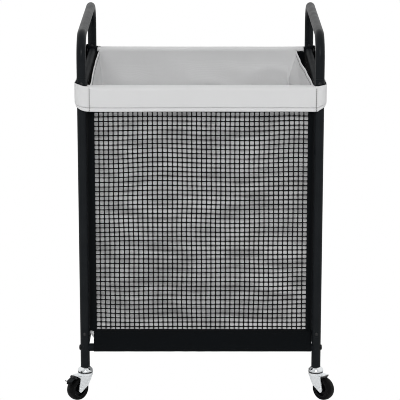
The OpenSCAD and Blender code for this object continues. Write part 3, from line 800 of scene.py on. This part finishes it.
def mesh_panel(node):
    """Coated square mesh: raised strands round rounded square holes."""
    low, high = box(node)
    low[2] = MESH_LOW
    high[0] += FRONT_RIGHT_NARROWER * (node == "front_mesh_panel")
    across = 0 if high[0] - low[0] > high[1] - low[1] else 1
    through = 1 - across
    plane = (low[through] + high[through]) / 2
    outward = 1 if plane > 0 else -1
    t = high[through] - low[through]
    width, height = high[across] - low[across], high[2] - low[2]
    columns, rows = round(width / CELL), round(height / CELL_UP)
    cu, cv = width / columns, height / rows
    a, b = (cu - STRAND) / 2, (cv - STRAND) / 2
    points, index = [], {}

    def put(u, v, d):
        key = (round(u * 1e7), round(v * 1e7), round(d * 1e7))
        if key not in index:
            index[key] = len(points)
            points.append((u, v, d))
        return index[key]

    faces = []
    thick, thin = t / 2 + CROSSING_OUT, t / 2 - STRAND_IN
    for i in range(columns):
        for j in range(rows):
            u0, v0 = (i + 0.5) * cu, (j + 0.5) * cv
            hole = []
            for du, dv in CELL_RING:
                r = HOLE_CORNER if du and dv else 1
                hole.append(put(u0 + a * du * r, v0 + b * dv * r, 0))
            for sign in (1, -1):
                ring = [
                    put(u0 + cu / 2 * du, v0 + cv / 2 * dv, sign * (thick if du and dv else thin))
                    for du, dv in CELL_RING
                ]
                for k in range(8):
                    m = (k + 1) % 8
                    face = (ring[k], ring[m], hole[m], hole[k])
                    faces.append(face if sign > 0 else face[::-1])
    p = np.array(points)
    u, v, d = p[:, 0] + low[across], p[:, 1] + low[2], p[:, 2]
    edge_u = ease(p[:, 0], 0, 0.04) * ease(width - p[:, 0], 0, 0.04)
    edge_v = ease(p[:, 1], 0, 0.04) * ease(height - p[:, 1], 0, 0.04)
    seed = 0.7 * outward + across
    du = 1.1 * MM * mesh_drift_u(u + seed, v) * edge_u
    dv = 1.5 * MM * mesh_drift_v(u + seed, v) * edge_v
    swell = 0.25 * MM * mesh_drift_u(u * 0.8, v * 0.8 + 3) * edge_u * edge_v
    xyz = np.empty((len(p), 3))
    xyz[:, across] = u + du
    xyz[:, through] = plane + outward * (d + swell)
    xyz[:, 2] = v + dv
    if (outward > 0) == (across == 0):
        faces = [f[::-1] for f in faces]
    panel = piece(node.removesuffix("_panel"), xyz, faces, mesh_coat, [node])


for end in ("front", "rear", "left", "right"):
    mesh_panel(f"{end}_mesh_panel")

# ---- Cuff: turned over the front and rear rails and round the legs ----

cuff_ripple = waves(41, 10, 0.06, 0.30, stretch=(1.0, 3.0))
cuff_small = waves(42, 14, 0.012, 0.04, stretch=(1.0, 1.6))
CUFF_SKIN = CLOTH / 2
HEM_UP = 7.6 * MM  # height of the hem's stitching above the cuff's foot
HEM_GROOVE = 2.6 * MM
SEAM_SHIFT = 4.6 * MM  # the skirt's upright seams stand this far to the right
SEAM_OVERLAP = 1.6 * MM  # a side cuff's ends reach past the seams by this,
SEAM_UNDER = 1.6 * MM  # and lie this much deeper there
# Heights above the foot, closest together beside the stitching, and the stitching's own row
HEM_STEPS = np.array([-1.2, -0.6, 0, 0.6, 1.2, 2.0]) * MM
HEM_RISES = np.concatenate([np.linspace(0, HEM_UP - 2.4 * MM, 4), HEM_UP + HEM_STEPS])
HEM_ROW = int(np.argmin(np.abs(HEM_RISES - HEM_UP)))
ROUND_OVER_R, INNER_R = 8 * MM, 7 * MM  # outer and inner bend over the top rail
INNER_POINTS = 9  # of the section, from the inner bend to the free edge
RIDE_UP = {-1: 5.2 * MM, 1: 2.2 * MM}  # the side cuffs' top edges beside the legs
FOOT_RIDE_UP = 7.5 * MM
FOOT_INWARD = 3.4 * MM


def cuff_profile():
    """Section of the front cuff as (y, z), with y positive outwards, from the foot up."""
    y_out, y_in = CUFF_Y - CUFF_SKIN, BAG_Y - CLOTH + CUFF_SKIN
    top = RIM - CUFF_SKIN
    r = ROUND_OVER_R - CUFF_SKIN
    line = [(y_out, CUFF_LOW + rise) for rise in HEM_RISES]
    line += [(y_out, z) for z in np.linspace(CUFF_LOW + HEM_UP + 3 * MM, top - r, 10)]
    for angle in np.linspace(0, math.pi / 2, 8)[1:]:
        line.append((y_out - r + r * math.cos(angle), top - r + r * math.sin(angle)))
    line.append(((y_out - r + y_in + INNER_R) / 2, top - 0.2 * MM))
    for angle in np.linspace(math.pi / 2, math.pi, INNER_POINTS - 1):
        line.append(
            (y_in + INNER_R + INNER_R * math.cos(angle), top - INNER_R + INNER_R * math.sin(angle))
        )
    line.append((y_in, WALL_TOP + 0.4 * MM))
    return np.array(line)


def beside_hem(z, reach):
    """1 at the height of the hem's stitching, falling off over a reach."""
    return np.exp(-(((z - CUFF_LOW - HEM_UP) / reach) ** 2))


def hem_groove(z):
    """How far the cloth is drawn in beside the hem's stitching."""
    return HEM_GROOVE * beside_hem(z, 1.1 * MM)


def cuff_long(side):
    """Front or rear cuff: side -1 is the front."""
    name = ENDS[side]
    profile = cuff_profile()
    x = np.linspace(-SEAM_X, SEAM_X, 150)
    seed = 2.0 * (side + 1)
    ends = ease(SEAM_X - np.abs(x), 0, 5 * MM)
    rows = []
    for y, z in profile:
        down = ease(RIM - z, 6 * MM, 50 * MM) if y > CUFF_Y - 2 * MM else 0
        soft = 0.9 * MM * cuff_ripple(x + seed, z * 0.5) * down
        soft = soft + 0.12 * MM * cuff_small(x + seed, z)
        pucker = 0.10 * MM * np.sin(x * 2 * math.pi / (7.4 * MM)) * beside_hem(z, 3.5 * MM)
        out = y + np.minimum(soft, 0.5 * MM) - hem_groove(z) + pucker
        sag = -0.5 * MM * (1 - (x / SEAM_X) ** 2) * (1 if z > RIM - 12 * MM else 0.6)
        wobble = 0.35 * MM * cuff_ripple(x * 0.7 + 5 + seed, 0.1)
        shift = SEAM_SHIFT * ease(y, CUFF_Y - 9 * MM, CUFF_Y - 4 * MM)
        rows.append(np.column_stack([x + shift, side * out, z + (sag + wobble) * ends]))
    cuff = cloth_piece(
        f"{name}_cuff_cloth", rows, side > 0, CLOTH, cuff_cloth, [f"{name}_cuff"]
    )
    cuff.data.materials.append(liner_cloth)
    lip = (len(profile) - INNER_POINTS) * (len(x) - 1)
    for face in cuff.data.polygons:
        face.material_index = 1 if face.index >= lip else 0
    sewn = rows[HEM_ROW].copy()
    sewn[:, 1] += side * (CUFF_SKIN + 0.05 * MM)
    lines = [("thread", sewn, CUFF_HEM_STITCH)]
    for label, column in (("left", 0), ("right", -1)):
        seam = np.array([row[column] for row in rows if abs(row[column][1]) > CUFF_Y - 4 * MM])
        seam[:, 1] += side * (CUFF_SKIN - 0.1 * MM)
        lines.append((f"seam_{label}", seam, CUFF_SEAM_STITCH))
    threads = [
        stitches(f"{name}_cuff_{label}", line, (0, side, 0), stitch, grey_thread)
        for label, line, stitch in lines
    ]


def cuff_side(side):
    """Side cuff, round both legs; side -1 is the left."""
    name = SIDES[side]
    r = CUFF_R - CUFF_SKIN
    seam_x = SEAM_X - SEAM_OVERLAP
    path = [(x, -(CUFF_Y - CUFF_SKIN)) for x in np.linspace(seam_x, LEG_X, 7)]
    outward = [(0, -1)] * len(path)
    add_arc(path, outward, np.array([LEG_X, -LEG_Y]), r, -math.pi / 2, 0, 15)
    for y in np.linspace(-LEG_Y, LEG_Y, 110)[1:]:
        path.append((LEG_X + r, y))
        outward.append((1, 0))
    add_arc(path, outward, np.array([LEG_X, LEG_Y]), r, 0, math.pi / 2, 15)
    for x in np.linspace(LEG_X, seam_x, 7)[1:]:
        path.append((x, CUFF_Y - CUFF_SKIN))
        outward.append((0, 1))
    path, outward = np.array(path), np.array(outward)
    s = distances(path)
    from_end = np.minimum(s, s[-1] - s)
    levels = np.concatenate(
        [
            CUFF_LOW + HEM_RISES,
            np.linspace(CUFF_LOW + HEM_UP + 3 * MM, RIM - HEM_UP - 1 * MM, 9),
            np.linspace(RIM - HEM_UP, RIM, 6),
        ]
    )
    seed = 9 + 3 * side
    at_seam = 1 - ease(from_end, 2.0 * MM, 4.5 * MM)
    at_leg = ease(path[:, 0], SEAM_X + 2 * MM, CUFF_X - 2 * MM)
    at_leg = at_leg * ease(np.abs(path[:, 1]), LEG_Y - 70 * MM, LEG_Y)
    free = 1 - ease(np.abs(path[:, 1]), LEG_Y - 0.05, LEG_Y - 0.01)
    shift = SEAM_SHIFT * ease(LEG_X - path[:, 0], 0, LEG_X - SEAM_X)
    rows = []
    for z in levels:
        soft = (1.3 * MM * cuff_ripple(s + seed, z * 0.5) - 0.6 * MM) * free
        soft = soft + 0.12 * MM * cuff_small(s + seed, z)
        foot = 1 - ease(z, CUFF_LOW - 2 * MM, CUFF_LOW + 17 * MM)
        d = np.minimum(soft, 0.6 * MM) - hem_groove(z) - SEAM_UNDER * at_seam
        d = d - FOOT_INWARD * foot**1.6 * outward[:, 0]
        drop = -0.7 * MM * free * (1 if z > RIM - 12 * MM else 0.4)
        wobble = 0.4 * MM * cuff_ripple(s * 0.7 + seed, 0.3) * ease(from_end, 0, 20 * MM)
        share = (z - CUFF_LOW) / (RIM - CUFF_LOW)
        ride = at_leg * (RIDE_UP[side] * share**3 + FOOT_RIDE_UP * (1 - share) ** 3)
        x = side * (path[:, 0] + outward[:, 0] * d) + shift
        rows.append(
            np.column_stack([x, path[:, 1] + outward[:, 1] * d, z + drop + wobble + ride])
        )
    cuff = cloth_piece(
        f"{name}_cuff_cloth", rows, side < 0, CLOTH, cuff_cloth, [f"{name}_cuff"]
    )
    cuff.data.materials.append(black_cloth)
    cuff.modifiers["cloth_thickness"].material_offset = 1
    out3 = np.column_stack([side * outward[:, 0], outward[:, 1], np.zeros(len(s))])
    sewn = rows[HEM_ROW] + out3 * (CUFF_SKIN + 0.05 * MM)
    thread = stitches(
        f"{name}_cuff_thread", sewn, out3, CUFF_HEM_STITCH, grey_thread
    )


cuff_long(-1)
cuff_long(1)
cuff_side(-1)
cuff_side(1)

# ---- Black cloth: corner bindings, sleeves on the bottom rails, side bands ----

binding_ripple = waves(51, 8, 0.05, 0.2)
SKIN = 0.85 * MM  # from the liner's outside to the mesh's outside
BINDING = 13 * MM
BINDING_OVER = 1.0 * MM  # the binding covers this much more of the mesh


def binding(label, cx, cy):
    """Strip of black cloth folded round one upright corner of the bag."""
    r = CORNER_R + SKIN - 0.4 * MM
    ax, ay = BAG_X - CORNER_R, BAG_Y - CORNER_R
    narrower = FRONT_RIGHT_NARROWER * (label == "front_right")
    edge = BAG_X - BINDING + narrower - BINDING_OVER
    path = [(x, ay + r) for x in np.linspace(edge, ax, 5)]
    outward = [(0, 1)] * len(path)
    add_arc(path, outward, np.array([ax, ay]), r, math.pi / 2, 0, 9)
    for y in np.linspace(ay, BAG_Y - BINDING - BINDING_OVER, 5)[1:]:
        path.append((ax + r, y))
        outward.append((1, 0))
    path, outward = np.array(path), np.array(outward)
    s = distances(path)
    levels = np.linspace(MESH_LOW + 0.3 * MM, WALL_TOP, 110)
    across = np.minimum(s, s[-1] - s)
    rows = []
    for z in levels:
        puff = 0.45 * MM * ease(across, 0, 3 * MM) + 0.25 * MM
        puff = puff + 1.5 * MM * outward[:, 0] ** 2 * ease(WALL_TOP - z, 14 * MM, 24 * MM)
        soft = 0.22 * MM * binding_ripple(s + cx * 3 + cy, z)
        d = puff + soft * ease(across, 0, 4 * MM)
        x = cx * (path[:, 0] + outward[:, 0] * d)
        y = cy * (path[:, 1] + outward[:, 1] * d)
        rows.append(np.column_stack([x, y, np.full(len(s), z)]))
    strip = black_piece(f"{label}_binding", rows, cx * cy < 0, 0.7 * MM, ["corner_bindings"])
    for side, column, out in (("a", 1, (0, cy, 0)), ("b", len(path) - 2, (cx, 0, 0))):
        sewn = np.array([row[column] for row in rows]) + np.array(out) * 0.4 * MM
        thread = f"{label}_binding_thread_{side}"
        stitches(thread, sewn, out, BINDING_STITCH, black_thread)


for label, (x, y, _) in CORNERS.items():
    binding(label, 1 if x > 0 else -1, 1 if y > 0 else -1)

SLEEVE_SEAM_UP = 28 * MM  # from the rail's middle up to where the sleeve is sewn together
SLEEVE_SEAM_R = 0.7 * MM


def rail_sleeve(side):
    """Cloth round the bottom rail, sewn to the mesh's foot; side -1 is the front."""
    name = ENDS[side]
    low, high = box(f"{name}_rail_sleeve")
    r = RAIL_R + 0.75 * MM
    web_y = BAG_Y + 0.45 * MM
    seam = np.array([web_y + 0.9 * MM, RAIL_Z + SLEEVE_SEAM_UP])
    centre = np.array([LEG_Y, RAIL_Z])
    gap = seam - centre
    heading = math.atan2(gap[1], gap[0])
    spread = math.acos(min(1, (r - SLEEVE_SEAM_R) / np.linalg.norm(gap)))
    first, last = toward(heading - spread), toward(heading + spread)
    outer, inner = centre + r * first, centre + r * last
    start, end = seam + SLEEVE_SEAM_R * first, seam + SLEEVE_SEAM_R * last
    line = [(web_y, MESH_LOW + 4 * MM), (web_y, MESH_LOW), (web_y + 0.1 * MM, MESH_LOW - 2 * MM)]
    line.append(start + np.array([-0.2 * MM, 1.5 * MM]))
    line += [start * (1 - t) + outer * t for t in np.linspace(0, 1, 9)]
    turn = np.linspace(heading - spread, heading + spread - 2 * math.pi, 22)[1:-1]
    line += [centre + r * toward(angle) for angle in turn]
    line += [inner * (1 - t) + end * t for t in np.linspace(0, 1, 8)]
    line = np.array(line)
    x = np.linspace(low[0], high[0], 120)
    length = distances(line)
    tangent = np.gradient(line, axis=0)
    tangent /= np.linalg.norm(tangent, axis=1)[:, None]
    outward = np.column_stack([-tangent[:, 1], tangent[:, 0]])
    middle = len(line) // 2
    if (outward[middle] * (line[middle] - centre)).sum() < 0:
        outward = -outward
    rows = []
    for i, (y, z) in enumerate(line):
        free = ease(length[i], 8 * MM, 16 * MM) * (1 - ease(length[i], 30 * MM, 40 * MM))
        d = 0.5 * MM * np.clip(cuff_ripple(x * 1.4 + 20 + side, length[i] * 2), -0.6, 1) * free
        d = d + 0.10 * MM * cuff_small(x + side, length[i])
        d = np.maximum(d, -0.15 * MM)
        rows.append(np.column_stack([x, side * (y + outward[i, 0] * d), z + outward[i, 1] * d]))
    sleeve = black_piece(f"{name}_sleeve", rows, side < 0, 0.8 * MM, [f"{name}_rail_sleeve"])
    sewn = rows[3].copy()
    sewn[:, 1] += side * 0.55 * MM
    thread = stitches(
        f"{name}_sleeve_thread", sewn, (0, side, 0), BAND_STITCH, black_thread
    )


rail_sleeve(-1)
rail_sleeve(1)

TAPE_OUT = 1.2 * MM
TAPE_WIDTH = 27 * MM
TAPE_DROPS = np.array([0, 0.7, 1.4, 2.2, 4, 8, 14, 18, 22, 27]) * MM


def top_tape(side):
    """Black tape along the outside of a side wall's top edge, swollen out to the top rail."""
    y = np.linspace(-BAG_Y + BINDING, BAG_Y - BINDING, 70)
    rows = []
    for drop in TAPE_DROPS:
        d = TAPE_OUT * ease(drop, -1 * MM, 2 * MM) * ease(TAPE_WIDTH - drop, -3 * MM, 9 * MM)
        x = np.full(y.shape, side * (BAG_X + SKIN + d))
        rows.append(np.column_stack([x, y, np.full(y.shape, WALL_TOP - drop)]))
    tape = black_piece(f"{SIDES[side]}_top_tape", rows, side < 0, 0.4 * MM)


top_tape(-1)
top_tape(1)


def side_band(side):
    """Black cloth along the foot of a side wall; side -1 is the left."""
    name = SIDES[side]
    wall = BAG_X + 0.5 * MM
    low_z = BAG_LOW + 1 * MM
    half = BAG_Y - CORNER_R
    heights = (MESH_LOW + 3 * MM, MESH_LOW, (MESH_LOW + TUCK_TOP) / 2, TUCK_TOP + 2 * MM)
    line = [(wall, z) for z in heights]
    line.append((wall - 0.3 * MM, TUCK_TOP))
    for t in np.linspace(0.2, 1, 5):
        tucked = TUCK_IN * t * (TUCK_TOP - low_z) / (TUCK_TOP - BAG_LOW)
        line.append((wall - tucked, TUCK_TOP + (low_z - TUCK_TOP) * t))
    line = np.array(line)
    y = np.linspace(-half, half, 90)
    rows = []
    for px, pz in line:
        d = 0.30 * MM * np.clip(cuff_ripple(y * 1.3 + 30 + side, pz * 2), -0.3, 1)
        rows.append(np.column_stack([side * (px + 0.15 * MM + d), y, np.full(y.shape, pz)]))
    band = black_piece(f"{name}_bottom_band", rows, side > 0, 0.8 * MM, ["side_bottom_bands"])
    sewn = (rows[1] + rows[2]) / 2
    sewn[:, 0] += side * 0.5 * MM
    thread = stitches(
        f"{name}_band_thread", sewn, (side, 0, 0), BAND_STITCH, black_thread
    )


side_band(-1)
side_band(1)

# ---- Base board: stiff board covered in cloth ----

board_pillow = waves(61, 6, 0.08, 0.3)
BOARD_RINGS = (0.30, 0.7, 0.9, 0.98)


def base_board():
    """The board as rings of points: its underside, rounded edge and slightly uneven top."""
    low, high = board_low[2], board_high[2]
    edge = (high - low) / 2
    loop, normal = plan_loop(board_high[0], board_high[1], CORNER_R, 12 * MM)
    count = len(loop)
    rows = [np.column_stack([loop * share, np.full(count, low)]) for share in BOARD_RINGS]
    for a in np.linspace(-math.pi / 2, math.pi / 2, 9):
        ring = loop - normal * edge * (1 - math.cos(a))
        rows.append(np.column_stack([ring, np.full(count, (low + high) / 2 + edge * math.sin(a))]))
    for share in BOARD_RINGS[::-1]:
        p = loop * share
        z = high + 0.2 * MM * board_pillow(p[:, 0], p[:, 1]) - 0.15 * MM
        rows.append(np.column_stack([p, z]))
    points = np.concatenate(rows)
    faces = grid_faces(len(rows), count, closed=True)
    faces.append(tuple(range(count))[::-1])
    faces.append(tuple(len(points) - count + i for i in range(count)))
    piece("base_board_cover", points, faces, board_cloth, ["base_board"])


base_board()

# ---- Stage, light and camera ----


def area_light(name, place, target, width, height, power):
    data = bpy.data.lights.new(name, "AREA")
    data.shape = "RECTANGLE"
    data.size, data.size_y = width, height
    data.energy = power
    obj = bpy.data.objects.new(name, data)
    obj.location = place
    obj.rotation_euler = (Vector(target) - Vector(place)).to_track_quat("-Z", "Y").to_euler()
    bpy.context.scene.collection.objects.link(obj)
    return obj


HALF_FLOOR = 30
floor_mesh = bpy.data.meshes.new("floor")
floor_mesh.from_pydata(
    [(x * HALF_FLOOR, y * HALF_FLOOR, 0) for x, y in ((-1, -1), (1, -1), (1, 1), (-1, 1))],
    [],
    [(0, 1, 2, 3)],
)
floor = bpy.data.objects.new("floor", floor_mesh)


def seen_white(tree, lit, target):
    """Sends lit on to target, but plain white for what the camera sees directly."""
    path = tree.nodes.new("ShaderNodeLightPath")
    white = tree.nodes.new("ShaderNodeEmission")
    white.inputs["Color"].default_value = (1, 1, 1, 1)
    mix = tree.nodes.new("ShaderNodeMixShader")
    tree.links.new(path.outputs["Is Camera Ray"], mix.inputs["Fac"])
    tree.links.new(lit, mix.inputs[1])
    tree.links.new(white.outputs["Emission"], mix.inputs[2])
    tree.links.new(mix.outputs["Shader"], target)


floor_look = Nodes("white_floor")
floor_look.set(Base_Color=(0.86, 0.86, 0.86, 1), Roughness=0.8, Specular_IOR_Level=0.1)
seen_white(
    floor_look.tree,
    floor_look.shader.outputs["BSDF"],
    floor_look.tree.nodes["Material Output"].inputs["Surface"],
)
floor_mesh.materials.append(floor_look.material)
bpy.context.scene.collection.objects.link(floor)

# The studio is white, but darker on the camera's side
world = bpy.data.worlds.new("studio")
world.use_nodes = True
sky = world.node_tree
heading = sky.nodes.new("ShaderNodeTexCoord")
parts = sky.nodes.new("ShaderNodeSeparateXYZ")
sky.links.new(heading.outputs["Generated"], parts.inputs[0])
dim = sky.nodes.new("ShaderNodeMapRange")
for key, number in (("From Min", -0.95), ("From Max", -0.1), ("To Min", 0.22), ("To Max", 0.80)):
    dim.inputs[key].default_value = number
sky.links.new(parts.outputs[1], dim.inputs["Value"])
sky.links.new(dim.outputs["Result"], sky.nodes["Background"].inputs["Strength"])
sky.nodes["Background"].inputs["Color"].default_value = (1, 1, 1, 1)
background = sky.nodes["Background"]
seen_white(sky, background.outputs["Background"], sky.nodes["World Output"].inputs["Surface"])
bpy.context.scene.world = world
bpy.context.scene.view_settings.view_transform = "Standard"
bpy.context.scene.cycles.filter_width = 0.95

area_light("key_light", (0.1, -4.1, 3.1), (0, 0, 0.42), 1.0, 1.0, 62)
area_light("fill_light", (3.2, -2.6, 2.2), (0, 0, 0.4), 2.0, 2.0, 3)
front = area_light("front_light", (-1.1, -4.4, 2.3), (0, 0, 0.55), 2.0, 1.6, 36)
front.visible_glossy = False
area_light("top_light", (0.0, 0.4, 3.6), (0, 0, 0.5), 3.0, 2.4, 1)

TILT = math.radians(14.22)
SENSOR, LENS = 36, 189.14  # in millimetres
CAMERA_PLACE = (-0.0012, -4.3787, 1.4783)
camera_data = bpy.data.cameras.new("camera")
camera_data.sensor_width = SENSOR
camera_data.lens = LENS
camera_data.clip_end = 100
camera = bpy.data.objects.new("camera", camera_data)
camera.location = CAMERA_PLACE
camera.rotation_euler = (math.pi / 2 - TILT, 0, 0)
bpy.context.scene.collection.objects.link(camera)
bpy.context.scene.camera = camera
